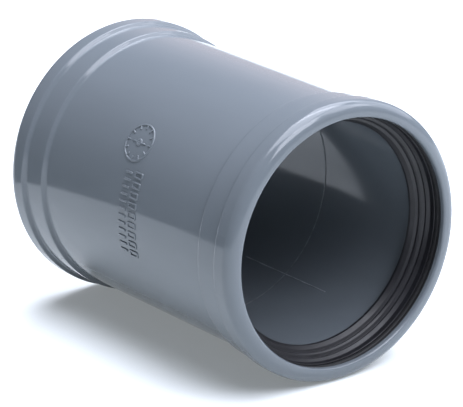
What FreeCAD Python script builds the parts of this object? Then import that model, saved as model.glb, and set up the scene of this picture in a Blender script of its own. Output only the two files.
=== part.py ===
"""Double-socket push-fit coupling for 110 mm drain pipe.

The bore axis is X, the front mouth faces +X, and the origin is the middle of the coupling on its axis.
A moulded body holds one lip seal in each mouth, and each seal holds a stiff support ring in its base.
"Depth" below means the distance from a mouth's end face, going inwards along the axis.
"""

import FreeCAD, Part
import os

import Sketcher

SIZES = {
    # pipe and body walls
    "pipe_diameter": 110.0,
    "pipe_clearance": 0.4,
    "body_wall": 4.0,
    "total_length": 164.0,
    # the two steps outside each mouth
    "band_step": 1.65,
    "band_width": 25.4,
    "band_run": 1.4,
    "band_rounding": 1.2,
    "rim_step": 1.65,
    "rim_run": 1.4,
    "rim_edge_rounding": 1.2,
    "rim_rounding": 5.2,
    # mouth, seal groove and the recess the lip folds into
    "mouth_relief": 0.2,
    "mouth_rounding": 1.2,
    "land_length": 2.8,
    "groove_width": 6.6,
    "groove_wall": 3.0,
    "groove_back_wall": 2.8,
    "fold_wall": 3.6,
    "fold_length": 11.6,
    "fold_taper": 2.0,
    # lip seal
    "seal_side_clearance": 0.1,
    "nose_setback": 0.1,
    "nose_depth": 9.4,
    "lip_reach": 5.0,
    "lip_depth": 16.5,
    "lip_land": 1.4,
    "lip_tip": 1.6,
    "lip_fold_gap": 0.2,
    "rib_count": 3,
    "rib_notch_width": 1.4,
    "rib_notch_depth": 0.8,
    # support ring
    "ring_setback": 0.5,
    "ring_wall": 1.6,
    "ring_width": 3.9,
    "ring_edge": 0.3,
    # raised marks on the middle of the body
    "mark_height": 0.45,
    "mark_root": 0.6,
    "clock_diameter": 18.0,
    "clock_rim": 1.0,
    "clock_angle": 35.0,
    "clock_ticks": 12,
    "clock_tick_length": 1.8,
    "clock_tick_width": 0.8,
    "clock_pointer_length": 9.0,
    "clock_hub_radius": 1.8,
    "row_start_angle": 22.0,
    "mark_stroke": 0.9,
    "frame_row_count": 9,
    "frame_row_offset": 8.2,
    "frame_row_length": 6.0,
    "frame_row_width": 3.2,
    "frame_row_pitch": 4.3,
    "dash_row_count": 12,
    "dash_row_offset": 1.4,
    "dash_row_length": 4.6,
    "dash_row_width": 1.2,
    "dash_row_pitch": 3.1,
}


class Size:
    """A value that carries its number and the sheet expression that gives it."""

    def __init__(self, number, text):
        self.number = number
        self.text = text

    def combine(self, sign, other, number):
        other_text = other.text if isinstance(other, Size) else str(other)
        return Size(number, f"({self.text} {sign} {other_text})")

    def __add__(self, other):
        return self.combine("+", other, self.number + plain(other))

    def __sub__(self, other):
        return self.combine("-", other, self.number - plain(other))

    def __mul__(self, other):
        return self.combine("*", other, self.number * plain(other))

    def __truediv__(self, other):
        return self.combine("/", other, self.number / plain(other))


def plain(value):
    """The number of a Size, or the number itself."""
    return value.number if isinstance(value, Size) else value


def make_sheet(doc):
    """Fill the driving dimensions into the sheet and return them as Size values."""
    sheet = doc.addObject("Spreadsheet::Sheet", "sizes")
    for row, (alias, number) in enumerate(SIZES.items(), start=1):
        sheet.set(f"A{row}", alias)
        sheet.set(f"B{row}", str(number))
        sheet.setAlias(f"B{row}", alias)
    doc.recompute()
    return {alias: Size(float(sheet.get(alias)), f"sizes.{alias}") for alias in SIZES}


def origin_feature(body, role):
    """One of the body's own origin planes or axes."""
    return next(f for f in body.Origin.OriginFeatures if f.Role == role)


def outline_sketch(body, name, corners):
    """A closed outline in the XY plane: x is along the bore, y is the radius, each corner bound to the sheet."""
    sketch = body.newObject("Sketcher::SketchObject", name)
    sketch.AttachmentSupport = [(origin_feature(body, "XY_Plane"), "")]
    sketch.MapMode = "FlatFace"
    points = [FreeCAD.Vector(x.number, y.number, 0) for x, y in corners]
    count = len(points)
    for i in range(count):
        sketch.addGeometry(Part.LineSegment(points[i], points[(i + 1) % count]), False)
    for i in range(count):
        sketch.addConstraint(Sketcher.Constraint("Coincident", i, 2, (i + 1) % count, 1))
    for i, (x, y) in enumerate(corners):
        for kind, size in (("DistanceX", x), ("DistanceY", y)):
            index = sketch.addConstraint(Sketcher.Constraint(kind, -1, 1, i, 1, size.number))
            sketch.setExpression(f"Constraints[{index}]", size.text)
    return sketch


def revolve(body, name, sketch):
    """Turn an outline once round the bore axis."""
    feature = body.newObject("PartDesign::Revolution", name)
    feature.Profile = sketch
    feature.ReferenceAxis = (origin_feature(body, "X_Axis"), [""])
    feature.Angle = 360.0
    feature.Refine = True
    return feature


def circle_edges(shape, x, radius):
    """Names of the circular edges about the bore axis at one place and radius."""
    names = []
    for number, edge in enumerate(shape.Edges, start=1):
        curve = edge.Curve
        if not isinstance(curve, Part.Circle):
            continue
        if abs(curve.Center.x - x) < 1e-4 and abs(curve.Radius - radius) < 1e-4:
            names.append(f"Edge{number}")
    return names


def dress(body, kind, name, base, places, size):
    """Add a fillet or a chamfer, its size bound to the sheet, on the circles at the given places."""
    body.Document.recompute()
    names = [n for x, r in places for n in circle_edges(base.Shape, x.number, r.number)]
    feature = body.newObject(kind, name)
    feature.Base = (base, names)
    feature.setExpression("Radius" if kind == "PartDesign::Fillet" else "Size", size.text)
    body.Tip = feature
    return feature


def derive(s):
    """Radii and places that follow from the driving dimensions."""
    d = dict(s)
    d["half"] = s["total_length"] / 2
    d["bore_r"] = s["pipe_diameter"] / 2 + s["pipe_clearance"]
    d["mouth_r"] = d["bore_r"] + s["mouth_relief"]
    d["body_r"] = d["bore_r"] + s["body_wall"]
    d["band_r"] = d["body_r"] + s["band_step"]
    d["rim_r"] = d["band_r"] + s["rim_step"]
    d["groove_r"] = d["rim_r"] - s["groove_wall"]
    d["groove_end"] = s["land_length"] + s["groove_width"]
    d["rim_width"] = d["groove_end"] + s["groove_back_wall"]
    d["fold_r"] = d["band_r"] - s["fold_wall"]
    d["fold_end"] = d["groove_end"] + s["fold_length"]
    d["lip_r"] = s["pipe_diameter"] / 2 - s["lip_reach"]
    d["nose_r"] = d["bore_r"] + s["nose_setback"]
    d["ring_inner_r"] = d["mouth_r"] + s["ring_setback"]
    d["ring_outer_r"] = d["ring_inner_r"] + s["ring_wall"]
    d["seal_front"] = s["land_length"] + s["seal_side_clearance"]
    d["seal_back"] = d["groove_end"] - s["seal_side_clearance"]
    d["pocket_end"] = d["seal_front"] + s["ring_width"]
    return d


def body_shell(doc, d):
    """The moulded tube: plain middle, two steps, rounded rims, and a seal groove and fold recess in each mouth."""
    body = doc.addObject("PartDesign::Body", "shell")
    half = d["half"]
    zero = Size(0.0, "0")
    corners = [
        (zero, d["body_r"]),
        (half - d["band_width"], d["body_r"]),
        (half - d["band_width"] + d["band_run"], d["band_r"]),
        (half - d["rim_width"], d["band_r"]),
        (half - d["rim_width"] + d["rim_run"], d["rim_r"]),
        (half, d["rim_r"]),
        (half, d["mouth_r"]),
        (half - d["land_length"], d["mouth_r"]),
        (half - d["land_length"], d["groove_r"]),
        (half - d["groove_end"], d["groove_r"]),
        (half - d["groove_end"], d["fold_r"]),
        (half - d["fold_end"], d["fold_r"]),
        (half - d["fold_end"] - d["fold_taper"], d["bore_r"]),
        (zero, d["bore_r"]),
    ]
    solid = revolve(body, "half_tube", outline_sketch(body, "half_outline", corners))
    band_edge = (half - d["band_width"] + d["band_run"], d["band_r"])
    rim_edge = (half - d["rim_width"] + d["rim_run"], d["rim_r"])
    fillet = "PartDesign::Fillet"
    solid = dress(body, fillet, "band_fillet", solid, [band_edge], d["band_rounding"])
    solid = dress(body, fillet, "rim_edge_fillet", solid, [rim_edge], d["rim_edge_rounding"])
    solid = dress(body, fillet, "rim_fillet", solid, [(half, d["rim_r"])], d["rim_rounding"])
    solid = dress(body, fillet, "mouth_fillet", solid, [(half, d["mouth_r"])], d["mouth_rounding"])
    doc.recompute()
    mirrored = body.newObject("PartDesign::Mirrored", "both_halves")
    mirrored.TransformMode = "Whole shape"
    mirrored.MirrorPlane = (origin_feature(body, "YZ_Plane"), [""])
    mirrored.Refine = True
    body.Tip = mirrored
    return body


def place(piece, angle, x="0", y="0", turn="0"):
    """Set an upright piece off along X and Y, turn it about Z, then lean it about the bore axis.

    An angle of 90 degrees leaves it on top, and 0 lays it to the -Y side.
    """
    leaned = f"placement(vector(0; 0; 0); rotation(vector(1; 0; 0); 90 - {angle}))"
    upright = f"placement(vector({x}; {y}; 0); rotation(vector(0; 0; 1); {turn}))"
    piece.setExpression("Placement", f"{leaned} * {upright}")
    return piece


def upright_box(doc, name, size_x, size_y, height):
    """A box standing up from the bore axis."""
    box = doc.addObject("Part::Box", name)
    box.setExpression("Length", size_x.text)
    box.setExpression("Width", size_y.text)
    box.setExpression("Height", height.text)
    return box


def upright_cylinder(doc, name, radius, height):
    """A cylinder standing up from the bore axis."""
    cylinder = doc.addObject("Part::Cylinder", name)
    cylinder.setExpression("Radius", radius.text)
    cylinder.setExpression("Height", height.text)
    return cylinder


def axis_cylinder(doc, name, radius, start, length):
    """A cylinder lying along the bore axis."""
    cylinder = upright_cylinder(doc, name, radius, length)
    lying = "rotation(vector(0; 1; 0); 90)"
    cylinder.setExpression("Placement", f"placement(vector({start.text}; 0; 0); {lying})")
    return cylinder


def fused(doc, name, pieces):
    """One shape from several."""
    fuse = doc.addObject("Part::MultiFuse", name)
    fuse.Shapes = pieces
    fuse.Refine = True
    return fuse


def cut(doc, name, base, tool):
    """Base less tool."""
    feature = doc.addObject("Part::Cut", name)
    feature.Base = base
    feature.Tool = tool
    return feature


def date_clock(doc, d, top):
    """Upright pieces of a mould date clock: (raised, holes) for a ring, the ticks inside it and a pointer."""
    angle = d["clock_angle"].text
    radius = d["clock_diameter"] / 2
    inner_radius = radius - d["clock_rim"]
    disc = place(upright_cylinder(doc, "clock_disc", radius, top), angle)
    hole = place(upright_cylinder(doc, "clock_hole", inner_radius, top), angle)
    raised = []
    count = int(d["clock_ticks"].number)
    tick_length = d["clock_tick_length"] + d["clock_rim"] / 2
    start = (inner_radius - d["clock_tick_length"]).text
    side = (d["clock_tick_width"] / 2).text
    for number in range(count):
        turn = 360.0 * number / count
        tick = upright_box(doc, f"clock_tick_{number + 1}", tick_length, d["clock_tick_width"], top)
        x = f"{start} * cos({turn}) + {side} * sin({turn})"
        y = f"{start} * sin({turn}) - {side} * cos({turn})"
        raised.append(place(tick, angle, x, y, turn))
    pointer = upright_box(doc, "clock_pointer", d["clock_pointer_length"], d["clock_tick_width"], top)
    raised.append(place(pointer, angle, (d["clock_pointer_length"] * -0.5).text, f"-{side}"))
    raised.append(place(upright_cylinder(doc, "clock_hub", d["clock_hub_radius"], top), angle))
    return [cut(doc, "clock_ring", disc, hole)] + raised


def dash_row(doc, d, top, row):
    """A row of raised dashes running round the body, each a small open frame if the row is framed."""
    count = int(d[f"{row}_count"].number)
    length = d[f"{row}_length"]
    width = d[f"{row}_width"]
    stroke = d["mark_stroke"]
    raised = []
    for number in range(count):
        angle = (d["row_start_angle"] - d[f"{row}_pitch"] * number).text
        middle = d[f"{row}_offset"]
        dash = upright_box(doc, f"{row}_{number + 1}", length, width, top)
        place(dash, angle, (middle - length / 2).text, (width * -0.5).text)
        if row == "frame_row":
            inner_length = length - stroke * 2
            inner_width = width - stroke * 2
            hole = upright_box(doc, f"{row}_hole_{number + 1}", inner_length, inner_width, top)
            place(hole, angle, (middle - inner_length / 2).text, (inner_width * -0.5).text)
            dash = cut(doc, f"{row}_frame_{number + 1}", dash, hole)
        raised.append(dash)
    return raised


def raised_marks(doc, d):
    """All marks, trimmed to a thin sleeve that stands proud of the body and roots in its wall."""
    outer_radius = d["body_r"] + d["mark_height"]
    top = outer_radius + d["mark_root"]
    pieces = date_clock(doc, d, top) + dash_row(doc, d, top, "frame_row") + dash_row(doc, d, top, "dash_row")
    sleeve_length = d["total_length"] - d["band_width"] * 2
    sleeve_start = sleeve_length * -0.5
    outer = axis_cylinder(doc, "sleeve_outer", outer_radius, sleeve_start, sleeve_length)
    inner = axis_cylinder(doc, "sleeve_inner", d["body_r"] - d["mark_root"], sleeve_start, sleeve_length)
    marks = doc.addObject("Part::Common", "trimmed_marks")
    marks.Base = fused(doc, "upright_marks", pieces)
    marks.Tool = cut(doc, "sleeve", outer, inner)
    return marks


def lip_outline(d):
    """Section of the lip seal: a base in the groove, a nose, and a ribbed lip that slopes inwards to its land."""
    half = d["half"]
    slope_depth = d["lip_depth"] - d["nose_depth"]
    slope_rise = d["nose_r"] - d["lip_r"]
    lip_end = d["lip_depth"] + d["lip_land"]
    corners = [
        (half - d["seal_front"], d["groove_r"]),
        (half - d["seal_back"], d["groove_r"]),
        (half - d["seal_back"], d["fold_r"] - d["lip_fold_gap"]),
        (half - lip_end, d["lip_r"] + d["lip_tip"]),
        (half - lip_end, d["lip_r"]),
        (half - d["lip_depth"], d["lip_r"]),
    ]
    ribs = int(d["rib_count"].number)
    half_notch = d["rib_notch_width"] / 2
    for number in range(ribs - 1, 0, -1):
        middle = slope_depth * number / ribs
        for along, sink in ((middle + half_notch, 0), (middle, d["rib_notch_depth"]), (middle - half_notch, 0)):
            radius = d["nose_r"] - slope_rise * along / slope_depth + sink
            corners.append((half - d["nose_depth"] - along, radius))
    corners += [
        (half - d["nose_depth"], d["nose_r"]),
        (half - d["pocket_end"], d["nose_r"]),
        (half - d["pocket_end"], d["ring_outer_r"]),
        (half - d["seal_front"], d["ring_outer_r"]),
    ]
    return corners


def lip_seal(doc, d, end):
    """The rubber seal of one mouth, in the front mouth's place."""
    body = doc.addObject("PartDesign::Body", f"{end}_lip_seal")
    revolve(body, f"{end}_seal_ring", outline_sketch(body, f"{end}_seal_outline", lip_outline(d)))
    return body


def support_ring(doc, d, end):
    """The stiff ring in one seal's base, in the front mouth's place."""
    body = doc.addObject("PartDesign::Body", f"{end}_support_ring")
    front = d["half"] - d["seal_front"]
    back = d["half"] - d["pocket_end"]
    corners = [
        (front, d["ring_inner_r"]),
        (front, d["ring_outer_r"]),
        (back, d["ring_outer_r"]),
        (back, d["ring_inner_r"]),
    ]
    solid = revolve(body, f"{end}_ring", outline_sketch(body, f"{end}_ring_outline", corners))
    inner_edges = [corners[0], corners[3]]
    dress(body, "PartDesign::Chamfer", f"{end}_ring_chamfer", solid, inner_edges, d["ring_edge"])
    return body


def turn_to_rear(body):
    """Move a piece made for the front mouth to the rear one."""
    body.Placement = FreeCAD.Placement(FreeCAD.Vector(), FreeCAD.Rotation(FreeCAD.Vector(0, 0, 1), 180))


def check(doc, pieces):
    """Stop if any object failed, or if a piece isn't one sound solid."""
    for item in doc.Objects:
        if "Invalid" in item.State or "Error" in item.State:
            raise RuntimeError(f"{item.Name} failed: {item.State}")
    for piece in pieces:
        shape = piece.Shape
        if shape.isNull() or not shape.isValid() or len(shape.Solids) != 1:
            raise RuntimeError(f"{piece.Label} is not one sound solid")


def main():
    doc = FreeCAD.newDocument("coupling")
    d = derive(make_sheet(doc))
    coupling = fused(doc, "coupling", [body_shell(doc, d), raised_marks(doc, d)])
    coupling.Label = "coupling_body"
    pieces = [coupling]
    for end in ("front", "rear"):
        parts_of_end = [lip_seal(doc, d, end), support_ring(doc, d, end)]
        if end == "rear":
            for piece in parts_of_end:
                turn_to_rear(piece)
        pieces += parts_of_end
    doc.recompute()
    check(doc, pieces)
    os.makedirs("parts", exist_ok=True)
    for piece in pieces:
        piece.Shape.exportStep(os.path.join("parts", f"{piece.Label}.step"))
        print(f"{piece.Label}: {piece.Shape.Volume / 1000:.1f} cm3")


main()
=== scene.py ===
import math

import bmesh
import bpy
from mathutils import Matrix, Vector


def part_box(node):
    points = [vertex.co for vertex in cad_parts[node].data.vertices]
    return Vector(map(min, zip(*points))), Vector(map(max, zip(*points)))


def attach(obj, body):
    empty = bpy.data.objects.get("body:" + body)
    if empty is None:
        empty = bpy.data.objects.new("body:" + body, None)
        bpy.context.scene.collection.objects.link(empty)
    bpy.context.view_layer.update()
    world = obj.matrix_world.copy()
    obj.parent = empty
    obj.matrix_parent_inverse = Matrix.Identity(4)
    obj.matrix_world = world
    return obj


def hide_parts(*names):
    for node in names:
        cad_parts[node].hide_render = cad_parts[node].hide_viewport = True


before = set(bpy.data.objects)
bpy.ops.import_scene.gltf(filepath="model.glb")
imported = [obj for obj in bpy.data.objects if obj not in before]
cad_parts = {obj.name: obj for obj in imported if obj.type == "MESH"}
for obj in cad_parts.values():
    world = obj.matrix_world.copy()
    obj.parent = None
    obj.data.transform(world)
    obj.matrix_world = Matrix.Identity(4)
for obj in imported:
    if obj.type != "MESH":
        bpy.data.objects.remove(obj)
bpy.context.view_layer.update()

# ---------------------------------------------------------------- sizes, in millimetres

body_low, body_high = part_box("coupling_body")
CENTRE = (body_low + body_high) / 2
HALF = (body_high.x - body_low.x) * 500
RIM_R = (body_high.z - body_low.z) * 500

STEP = 1.65                 # height of each of the two steps outside an end
BAND_R = RIM_R - STEP
BODY_R = RIM_R - 2 * STEP
BORE_R = BODY_R - 4.0
MOUTH_R = BORE_R + 0.2
GROOVE_R = RIM_R - 3.0      # the seal's groove
FOLD_R = BAND_R - 3.6       # the recess that the lip folds into
LIP_R = 50.0
RING_INNER_R = MOUTH_R + 0.5
RING_OUTER_R = RING_INNER_R + 1.6

# Distances from an end face, along the bore.
BAND_END = 25.4
RIM_END = 12.2
STEP_RUN = 1.4
MOUTH_LAND = 2.8
GROOVE_END = 9.4
FOLD_END = 21.0
BORE_START = 23.0
SEAL_GAP = 0.1              # between the seal's base and the groove's sides

STATIONS = 432              # points round each turned piece


# ---------------------------------------------------------------- shape helpers

def arc_points(before, corner, after, radius, steps):
    """Points of the arc that rounds one corner of an outline."""
    a = (Vector(before) - Vector(corner)).normalized()
    b = (Vector(after) - Vector(corner)).normalized()
    angle = a.angle(b)
    reach = radius / math.tan(angle / 2)
    middle = Vector(corner) + (a + b).normalized() * (radius / math.sin(angle / 2))
    start = Vector(corner) + a * reach - middle
    end = Vector(corner) + b * reach - middle
    turn = start.angle(end)
    points = []
    for i in range(steps + 1):
        t = i / steps
        first = math.sin((1 - t) * turn) / math.sin(turn)
        second = math.sin(t * turn) / math.sin(turn)
        points.append(tuple(middle + start * first + end * second))
    return points


def rounded(corners, closed=True):
    """Outline points from (x, r, rounding) corners; a rounding of 0 keeps the corner as it is."""
    points = []
    count = len(corners)
    for i, (x, r, radius) in enumerate(corners):
        if radius == 0 or (not closed and i in (0, count - 1)):
            points.append((x, r))
            continue
        before = corners[i - 1][:2]
        after = corners[(i + 1) % count][:2]
        steps = 3 if radius < 0.5 else 6 if radius < 3 else 12
        points += arc_points(before, (x, r), after, radius, steps)
    return points


def supported(points, long_edge=0.9, margin=0.15):
    """The closed outline with a point close to both ends of every long edge.

    The extra points keep flat faces flat in smooth shading.
    """
    full = []
    for i, point in enumerate(points):
        start, end = Vector(point), Vector(points[(i + 1) % len(points)])
        full.append(point)
        length = (end - start).length
        if length > long_edge:
            full.append(tuple(start.lerp(end, margin / length)))
            full.append(tuple(end.lerp(start, margin / length)))
    return full


def mirrored(points):
    """The same outline at the other end, run the other way so that it joins on."""
    return [(-x, r) for x, r in reversed(points)]


def on_cylinder(x, r, theta):
    """A point in metres; theta is 0 on the -Y side and a quarter turn on top."""
    place = Vector((x, -r * math.cos(theta), r * math.sin(theta)))
    return CENTRE + place / 1000


def add_object(name, verts, faces):
    mesh = bpy.data.meshes.new(name)
    mesh.from_pydata(verts, [], faces)
    shape = bmesh.new()
    shape.from_mesh(mesh)
    bmesh.ops.recalc_face_normals(shape, faces=shape.faces)
    shape.to_mesh(mesh)
    shape.free()
    mesh.shade_smooth()
    obj = bpy.data.objects.new(name, mesh)
    bpy.context.scene.collection.objects.link(obj)
    return obj


def lathe(name, outline, thetas, relief=None):
    """A closed ring: an outline of (x, r) points turned round the bore axis."""
    outline = supported(outline)
    verts = []
    for theta in thetas:
        for x, r in outline:
            lift = relief(x, r, theta) if relief else 0.0
            verts.append(on_cylinder(x, r + lift, theta))
    count = len(outline)
    rings = len(thetas)
    faces = []
    for i in range(rings):
        for j in range(count):
            a, b = i * count, ((i + 1) % rings) * count
            k = (j + 1) % count
            faces.append((a + j, a + k, b + k, b + j))
    return add_object(name, verts, faces)


def even_thetas(extra=()):
    """Stations all round, with a few more close together where a thin line runs along the bore."""
    thetas = [2 * math.pi * i / STATIONS - math.pi for i in range(STATIONS)]
    for middle, half_width in extra:
        thetas = [t for t in thetas if abs(t - middle) > half_width * 2.2]
        thetas += [middle + half_width * k for k in (-2, -1, -0.5, 0, 0.5, 1, 2)]
    return sorted(thetas)


# ---------------------------------------------------------------- coupling body

# Fine lines left by the mould: angle round the body, half width and height.
CORE_LINE, CORE_LINE_HALF, CORE_LINE_HEIGHT = math.radians(-125.6), 0.3, 0.20
CORE_LINE_REACH = 29        # it runs this far each way from the middle
RIM_LINE, RIM_LINE_HALF, RIM_LINE_DEPTH = math.radians(105.0), 0.35, 0.10
CORE_RING_HALF, CORE_RING_HEIGHT = 0.35, 0.18


def body_relief(x, r, theta):
    """The core's line along the bore and the join line across the front rim."""
    lift = 0.0
    across = abs(theta - CORE_LINE) * BORE_R
    if r < BORE_R + 0.05 and abs(x) < CORE_LINE_REACH and across < CORE_LINE_HALF:
        lift -= CORE_LINE_HEIGHT * (1 - across / CORE_LINE_HALF)
    across = abs(theta - RIM_LINE) * RIM_R
    if x > HALF - 12 and r > MOUTH_R + 1.2 and across < RIM_LINE_HALF:
        lift -= RIM_LINE_DEPTH * (1 - across / RIM_LINE_HALF)
    return lift


def body_outline():
    """The whole wall: the front half from the middle outwards and back along the bore, mirrored."""
    foot, shoulder = 1.5, 1.2
    outer = rounded([
        (0, BODY_R, 0),
        (HALF - BAND_END, BODY_R, foot),
        (HALF - BAND_END + STEP_RUN, BAND_R, shoulder),
        (HALF - RIM_END, BAND_R, foot),
        (HALF - RIM_END + STEP_RUN, RIM_R, shoulder),
        (HALF, RIM_R, 5.2),
        (HALF, MOUTH_R, 1.2),
        (HALF - MOUTH_LAND, MOUTH_R, 0.3),
        (HALF - MOUTH_LAND, GROOVE_R, 0.2),
        (HALF - GROOVE_END, GROOVE_R, 0.2),
        (HALF - GROOVE_END, FOLD_R, 0.2),
        (HALF - FOLD_END, FOLD_R, 0.6),
        (HALF - BORE_START, BORE_R, 0.6),
        (40, BORE_R, 0),
        (CORE_LINE_REACH, BORE_R, 0),
        (28, BORE_R, 0),
        (14, BORE_R, 0),
        (CORE_RING_HALF, BORE_R, 0),
        (0.10, BORE_R - CORE_RING_HEIGHT, 0),
    ], closed=False)
    outer = [p for p in outer if p[0] > 0]
    front = [(x, BODY_R) for x in (14, 28, 42)] + outer
    return [(0, BODY_R)] + front + mirrored(front)


body = lathe(
    "body_shell",
    body_outline(),
    even_thetas([(CORE_LINE, CORE_LINE_HALF / BORE_R), (RIM_LINE, RIM_LINE_HALF / RIM_R)]),
    body_relief,
)


# ---------------------------------------------------------------- raised marks

MARK_HEIGHT = 0.45
MARK_ROOT = 0.35


def stroke(path, width, closed):
    """A raised stroke along a flat path, wrapped on the body: (vertices, faces) with soft edges.

    The path runs in (x, s): x along the bore and s round the body, both in millimetres.
    """
    half_section = [(0.18, MARK_HEIGHT), (0.36, MARK_HEIGHT * 0.86),
                    (0.5, MARK_HEIGHT * 0.45), (0.5, -MARK_ROOT)]
    section = [(-across, lift) for across, lift in reversed(half_section)] + half_section
    verts = []
    count = len(path)
    for i, (x, s) in enumerate(path):
        before = path[i - 1] if closed or i > 0 else path[i]
        after = path[(i + 1) % count] if closed or i < count - 1 else path[i]
        dx, ds = after[0] - before[0], after[1] - before[1]
        size = math.hypot(dx, ds)
        nx, ns = -ds / size, dx / size
        for across, lift in section:
            px, ps = x + nx * width * across, s + ns * width * across
            verts.append(on_cylinder(px, BODY_R + lift, ps / BODY_R))
    faces = []
    step = len(section)
    for i in range(count if closed else count - 1):
        a, b = i * step, ((i + 1) % count) * step
        for j in range(step):
            k = (j + 1) % step
            faces.append((a + j, a + k, b + k, b + j))
    if not closed:
        faces.append(tuple(range(step)))
        faces.append(tuple(range((count - 1) * step, count * step)))
    return verts, faces


def straight(start, end, parts=6):
    """A straight path with enough points to follow the body's curve."""
    return [(start[0] + (end[0] - start[0]) * i / parts, start[1] + (end[1] - start[1]) * i / parts)
            for i in range(parts + 1)]


def circle(x, s, radius, count=96):
    angles = [2 * math.pi * i / count for i in range(count)]
    return [(x + radius * math.cos(angle), s + radius * math.sin(angle)) for angle in angles]


def frame_path(x, s, length, width, corner):
    """A rounded rectangle, length along the bore."""
    path = []
    for cx, cs, start in ((1, 1, 0), (-1, 1, 90), (-1, -1, 180), (1, -1, 270)):
        for k in range(5):
            angle = math.radians(start + 22.5 * k)
            path.append((x + cx * (length / 2 - corner) + corner * math.cos(angle),
                         s + cs * (width / 2 - corner) + corner * math.sin(angle)))
    return path


def raised_marks():
    """A plain date clock, a row of small open frames and a row of dashes, on the -Y side."""
    clock_s = math.radians(35.0) * BODY_R
    ring, hub = circle(0, clock_s, 8.5), circle(0, clock_s, 1.1, 32)
    pointer = straight((-4.5, clock_s), (4.5, clock_s))
    strokes = [stroke(ring, 1.0, True)]
    for number in range(12):
        angle = 2 * math.pi * number / 12
        ends = [(r * math.cos(angle), clock_s + r * math.sin(angle)) for r in (6.3, 8.2)]
        strokes.append(stroke(straight(*ends), 0.8, False))
    strokes += [stroke(pointer, 0.8, False), stroke(hub, 1.5, True)]
    for number in range(9):
        s = math.radians(22.0 - 4.3 * number) * BODY_R
        strokes.append(stroke(frame_path(8.2, s, 5.1, 2.3, 0.5), 0.9, True))
    for number in range(12):
        s = math.radians(22.0 - 3.1 * number) * BODY_R
        strokes.append(stroke(straight((-0.9, s), (3.7, s)), 1.2, False))
    verts, faces = [], []
    for more_verts, more_faces in strokes:
        shift = len(verts)
        verts += more_verts
        faces += [tuple(i + shift for i in face) for face in more_faces]
    return add_object("raised_marks", verts, faces)


marks = raised_marks()


# ---------------------------------------------------------------- seals and support rings

RING_LENGTH = 3.9


def seal_outline():
    """The ribbed lip seal of the front mouth: base, nose, three ribs and the thin lip."""
    front, back = HALF - MOUTH_LAND - SEAL_GAP, HALF - GROOVE_END + SEAL_GAP
    pocket = front - RING_LENGTH
    nose_r = BORE_R + 0.1
    nose, lip, tip = HALF - GROOVE_END, HALF - 16.5, HALF - 17.9
    notch_half, notch_depth = 0.7, 0.8
    corners = [
        (front, GROOVE_R, 0.3),
        (back, GROOVE_R, 0.3),
        (back, FOLD_R - 0.2, 0.3),
        (tip, LIP_R + 1.6, 0.5),
        (tip, LIP_R, 0.35),
        (lip, LIP_R, 0.3),
    ]
    for middle in (2 / 3, 1 / 3):
        for offset, sink in ((notch_half, 0.0), (0.0, notch_depth), (-notch_half, 0.0)):
            along = (nose - lip) * middle + offset
            r = nose_r - (nose_r - LIP_R) * along / (nose - lip) + sink
            corners.append((nose - along, r, 0.18 if sink else 0.6))
    corners += [
        (nose, nose_r, 0.6),
        (pocket, nose_r, 0.3),
        (pocket, RING_OUTER_R, 0.15),
        (front, RING_OUTER_R, 0.3),
    ]
    return rounded(corners)


def ring_outline():
    """The stiff ring in the base of the front seal, with a shallow notch round its inside."""
    front = HALF - MOUTH_LAND - SEAL_GAP
    back = front - RING_LENGTH
    middle = (front + back) / 2
    return rounded([
        (front, RING_INNER_R, 0.3),
        (front, RING_OUTER_R, 0.15),
        (back, RING_OUTER_R, 0.15),
        (back, RING_INNER_R, 0.3),
        (middle - 0.5, RING_INNER_R, 0.15),
        (middle, RING_INNER_R + 0.3, 0.15),
        (middle + 0.5, RING_INNER_R, 0.15),
    ])


seals, rings = {}, {}
for end, outline_of in (("front", lambda points: points), ("rear", mirrored)):
    seals[end] = lathe(f"{end}_seal_rubber", outline_of(seal_outline()), even_thetas())
    rings[end] = lathe(f"{end}_seal_ring", outline_of(ring_outline()), even_thetas())


# ---------------------------------------------------------------- materials

class Nodes:
    """A small helper to wire a material."""

    def __init__(self, name):
        self.material = bpy.data.materials.new(name)
        self.material.use_nodes = True
        self.tree = self.material.node_tree
        self.shader = self.tree.nodes["Principled BSDF"]
        self.place = self.add("ShaderNodeTexCoord").outputs["Object"]

    def add(self, kind, **inputs):
        node = self.tree.nodes.new(kind)
        for name, value in inputs.items():
            node.inputs[name.replace("_", " ")].default_value = value
        return node

    def join(self, source, target):
        self.tree.links.new(source, target)

    def noise(self, scale, detail=3.0, roughness=0.5, stretch=None):
        node = self.add("ShaderNodeTexNoise", Scale=scale, Detail=detail, Roughness=roughness)
        place = self.place
        if stretch:
            mapping = self.add("ShaderNodeMapping", Scale=stretch)
            self.join(place, mapping.inputs["Vector"])
            place = mapping.outputs["Vector"]
        self.join(place, node.inputs["Vector"])
        return node.outputs["Fac"]

    def ramp(self, source, stops):
        node = self.add("ShaderNodeValToRGB")
        ramp = node.color_ramp
        while len(ramp.elements) < len(stops):
            ramp.elements.new(0.5)
        for element, (position, colour) in zip(ramp.elements, stops):
            element.position = position
            element.color = (*colour, 1.0)
        self.join(source, node.inputs["Fac"])
        return node.outputs["Color"]

    def spread(self, source, low, high):
        """Turn a noise value into a range."""
        node = self.add("ShaderNodeMapRange", From_Min=0.3, From_Max=0.7, To_Min=low, To_Max=high)
        self.join(source, node.inputs["Value"])
        return node.outputs["Result"]

    def bump(self, layers):
        """Stack bump layers of (height, depth in metres)."""
        normal = None
        for height, depth in layers:
            node = self.add("ShaderNodeBump", Strength=1.0, Distance=depth)
            self.join(height, node.inputs["Height"])
            if normal is not None:
                self.join(normal, node.inputs["Normal"])
            normal = node.outputs["Normal"]
        self.join(normal, self.shader.inputs["Normal"])

    def colour(self, source, stops):
        self.join(self.ramp(source, stops), self.shader.inputs["Base Color"])

    def roughness(self, source, low, high):
        self.join(self.spread(source, low, high), self.shader.inputs["Roughness"])

    def set(self, name, value):
        self.shader.inputs[name].default_value = value


def scaled(colour, factor):
    return tuple(c * factor for c in colour)


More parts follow.
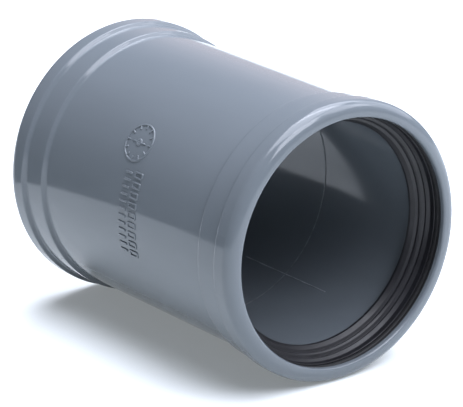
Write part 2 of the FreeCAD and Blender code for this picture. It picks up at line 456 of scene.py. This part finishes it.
def body_plastic():
    m = Nodes("body_plastic")
    grey = (0.129, 0.147, 0.163)
    m.colour(m.noise(28, 4.0, 0.55, (0.35, 1, 1)),
             [(0.30, scaled(grey, 0.96)), (0.50, grey), (0.70, scaled(grey, 1.04))])
    m.roughness(m.noise(55, 4.0, 0.6), 0.09, 0.13)
    m.bump([(m.noise(2600, 2.0), 0.000002), (m.noise(60, 2.0), 0.000012)])
    m.set("IOR", 1.53)
    m.set("Specular IOR Level", 0.31)
    return m.material


def witness_line_highlight(name, pale):
    """The fine lines that the mould's core leaves in the bore: a duller, rougher finish, with a
    paler colour that is a painted highlight for the light these thin ridges catch.
    """
    m = Nodes(name)
    m.colour(m.noise(300), [(0.35, scaled(pale, 0.6)), (0.65, pale)])
    m.roughness(m.noise(200), 0.40, 0.55)
    m.bump([(m.noise(2600, 2.0), 0.000004)])
    return m.material


def seal_rubber():
    m = Nodes("seal_rubber")
    black = (0.008, 0.008, 0.010)
    m.colour(m.noise(60, 4.0, 0.6), [(0.3, scaled(black, 0.8)), (0.7, scaled(black, 1.3))])
    m.roughness(m.noise(140), 0.38, 0.52)
    m.bump([(m.noise(1800, 2.0), 0.00001)])
    m.set("Specular IOR Level", 0.38)
    return m.material


def ring_plastic():
    m = Nodes("ring_plastic")
    black = (0.010, 0.010, 0.011)
    m.colour(m.noise(80), [(0.3, scaled(black, 0.8)), (0.7, scaled(black, 1.25))])
    m.roughness(m.noise(200), 0.55, 0.68)
    m.bump([(m.noise(2200, 2.0), 0.000012)])
    return m.material


def paint(objects, material):
    for obj in objects:
        obj.data.materials.clear()
        obj.data.materials.append(material)


grey_plastic, rubber, black_plastic = body_plastic(), seal_rubber(), ring_plastic()
paint([body, marks], grey_plastic)
# The bore's fine mould lines get a paler colour: a painted highlight, weaker on the ring round the
# middle than on the line along the bore.
body.data.materials.append(witness_line_highlight("witness_line_highlight", (0.24, 0.26, 0.285)))
body.data.materials.append(witness_line_highlight("witness_ring_highlight", (0.165, 0.185, 0.205)))
LINE_SLOT, RING_SLOT = 1, 2
for polygon in body.data.polygons:
    place = (polygon.center - CENTRE) * 1000
    if abs(place.x) < CORE_LINE_REACH + 1 and math.hypot(place.y, place.z) < BORE_R - 0.03:
        polygon.material_index = RING_SLOT if abs(place.x) < 0.5 else LINE_SLOT
paint(seals.values(), rubber)
paint(rings.values(), black_plastic)
cad_materials = {"coupling_body": grey_plastic}
for end in ("front", "rear"):
    cad_materials[f"{end}_lip_seal"] = rubber
    cad_materials[f"{end}_support_ring"] = black_plastic
for node, material in cad_materials.items():
    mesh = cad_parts[node].data
    mesh.materials.clear()
    mesh.materials.append(material)

for piece in (body, marks, *seals.values(), *rings.values()):
    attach(piece, "root")
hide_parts("coupling_body")
for end in ("front", "rear"):
    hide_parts(f"{end}_lip_seal")
    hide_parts(f"{end}_support_ring")


# ---------------------------------------------------------------- camera

azimuth, elevation = math.radians(52.53), math.radians(19.23)
camera_distance = 1.4934
side = Vector((math.cos(azimuth), math.sin(azimuth), 0))
back = Vector((math.sin(azimuth) * math.cos(elevation), -math.cos(azimuth) * math.cos(elevation),
               math.sin(elevation)))
rise = back.cross(side)
camera_data = bpy.data.cameras.new("camera")
camera_data.lens = 261.4
camera_data.sensor_width = 36.0
camera_data.clip_start = 0.05
camera_data.clip_end = 20.0
camera = bpy.data.objects.new("camera", camera_data)
bpy.context.scene.collection.objects.link(camera)
aim = CENTRE + side * 0.0012 - rise * 0.0040
turn = Matrix((side, rise, back)).transposed().to_4x4()
camera.matrix_world = Matrix.Translation(aim + back * camera_distance) @ turn
bpy.context.scene.camera = camera


# ---------------------------------------------------------------- floor, card, backdrops and light

FLOOR_Z = body_low.z
DAYLIGHT = (0.94, 0.97, 1.09)


def stage_mesh(name, verts, faces, material):
    """A mesh of the set, which is not part of the object."""
    mesh = bpy.data.meshes.new(name)
    mesh.from_pydata(verts, [], faces)
    mesh.materials.append(material)
    obj = bpy.data.objects.new(name, mesh)
    bpy.context.scene.collection.objects.link(obj)
    return obj


def flat(name, corners, material):
    """A single flat sheet for the set."""
    return stage_mesh(name, corners, [tuple(range(len(corners)))], material)


def stage_material(name, colour, roughness, noise_scale, glow=None, strength=0.0):
    m = Nodes(name)
    m.colour(m.noise(noise_scale), [(0.3, scaled(colour, 0.98)), (0.7, colour)])
    m.set("Roughness", roughness)
    m.set("Specular IOR Level", 0.2)
    if glow:
        m.set("Emission Color", (*glow, 1.0))
        m.set("Emission Strength", strength)
    return m.material


paper = stage_material("paper", (0.68, 0.71, 0.71), 0.8, 9, glow=(0.92, 0.97, 1.0), strength=0.22)
flat("floor", [(x, y, FLOOR_Z) for x, y in ((-3, -3), (3, -3), (3, 3), (-3, 3))], paper)

# A black card on the floor, seen only in reflections: the bright floor ends at its edges.
card_corners = [(-0.205, -0.138), (-0.33, -0.200), (-1.9, -0.85), (-1.9, -2.6),
                (-0.55, -1.30), (-0.298, -0.37), (-0.245, -0.235)]
card = flat("black_card", [(x, y, FLOOR_Z + 0.001) for x, y in card_corners],
            stage_material("black_card", (0.012, 0.012, 0.012), 0.9, 20))
card.visible_camera = False
card.visible_diffuse = False
card.visible_shadow = False


def panel(name, direction, distance, width, height, radiance):
    """A soft area light of a given brightness, facing the object."""
    data = bpy.data.lights.new(name, "AREA")
    data.shape = "RECTANGLE"
    data.size = width
    data.size_y = height
    data.color = DAYLIGHT
    data.energy = radiance * math.pi * width * height
    obj = bpy.data.objects.new(name, data)
    way = Vector(direction).normalized()
    obj.location = CENTRE + way * distance
    obj.rotation_euler = (CENTRE - obj.location).to_track_quat("-Z", "Y").to_euler()
    bpy.context.scene.collection.objects.link(obj)


panel("overhead", (-0.05, 0.06, 1.0), 1.5, 1.4, 1.4, 7.0)
panel("front_top", (0.80, 0.06, 0.90), 1.6, 0.9, 0.8, 9.6)
panel("right_top", (0.45, 0.60, 0.80), 1.6, 0.8, 0.8, 5.0)
panel("back_top", (-0.35, 0.45, 0.82), 1.6, 1.0, 1.0, 4.2)
panel("right_side", (0.10, 0.90, 0.50), 1.6, 1.2, 1.0, 2.2)


def glowing_wall(name, middle, width, height, strength):
    """An upright lit backdrop, seen only in reflections: brightest low down, fading upwards."""
    wall = Nodes(name)
    split = wall.add("ShaderNodeSeparateXYZ")
    wall.join(wall.place, split.inputs["Vector"])
    fade = wall.add("ShaderNodeMapRange",
                    From_Min=0.15, From_Max=height, To_Min=strength, To_Max=0.0)
    fade.interpolation_type = "SMOOTHERSTEP"
    wall.join(split.outputs["Z"], fade.inputs["Value"])
    wall.join(fade.outputs["Result"], wall.shader.inputs["Emission Strength"])
    wall.set("Emission Color", (1.08, 0.98, 1.06, 1.0))
    wall.set("Base Color", (0.02, 0.02, 0.02, 1.0))
    along = Vector((-middle.y, middle.x, 0)).normalized() * (width / 2)
    low = Vector((middle.x, middle.y, FLOOR_Z + 0.002))
    top = Vector((middle.x, middle.y, height))
    corners = [low - along, low + along, top + along, top - along]
    backdrop = flat(name, corners, wall.material)
    backdrop.visible_camera = False


glowing_wall("backdrop", Vector((-2.02, 1.64, 0)), 1.75, 2.3, 0.65)


def pale_sweep(inner, outer, height, bend=0.3, steps=96):
    """The far floor curving up into a pale wall all round.

    It gives low viewpoints a pale background, and takes no part in light, shade or reflections.
    """
    low = FLOOR_Z + 0.0004
    profile = [(inner, low)]
    for angle in (math.radians(10 * k) for k in range(10)):
        profile.append((outer + bend * math.sin(angle), low + bend * (1 - math.cos(angle))))
    profile.append((outer + bend, height))
    count = len(profile)
    verts, faces = [], []
    for k in range(steps):
        angle = 2 * math.pi * k / steps
        verts += [(r * math.cos(angle), r * math.sin(angle), z) for r, z in profile]
        here, there = k * count, (k + 1) % steps * count
        faces += [(here + j, here + j + 1, there + j + 1, there + j) for j in range(count - 1)]
    pale = stage_material("pale_sweep", (0.02, 0.02, 0.02), 0.9, 5, glow=(1, 1, 1), strength=1.0)
    obj = stage_mesh("sweep", verts, faces, pale)
    obj.visible_diffuse = False
    obj.visible_glossy = False
    obj.visible_transmission = False
    obj.visible_volume_scatter = False
    obj.visible_shadow = False


pale_sweep(0.95, 2.7, 3.0)

world = bpy.data.worlds.new("studio")
world.use_nodes = True
background = world.node_tree.nodes["Background"]
background.inputs["Color"].default_value = (0.87, 0.97, 1.10, 1.0)
background.inputs["Strength"].default_value = 0.01
bpy.context.scene.world = world

bpy.context.scene.view_settings.view_transform = "Standard"
bpy.context.scene.view_settings.look = "None"
bpy.context.scene.view_settings.exposure = 0.0
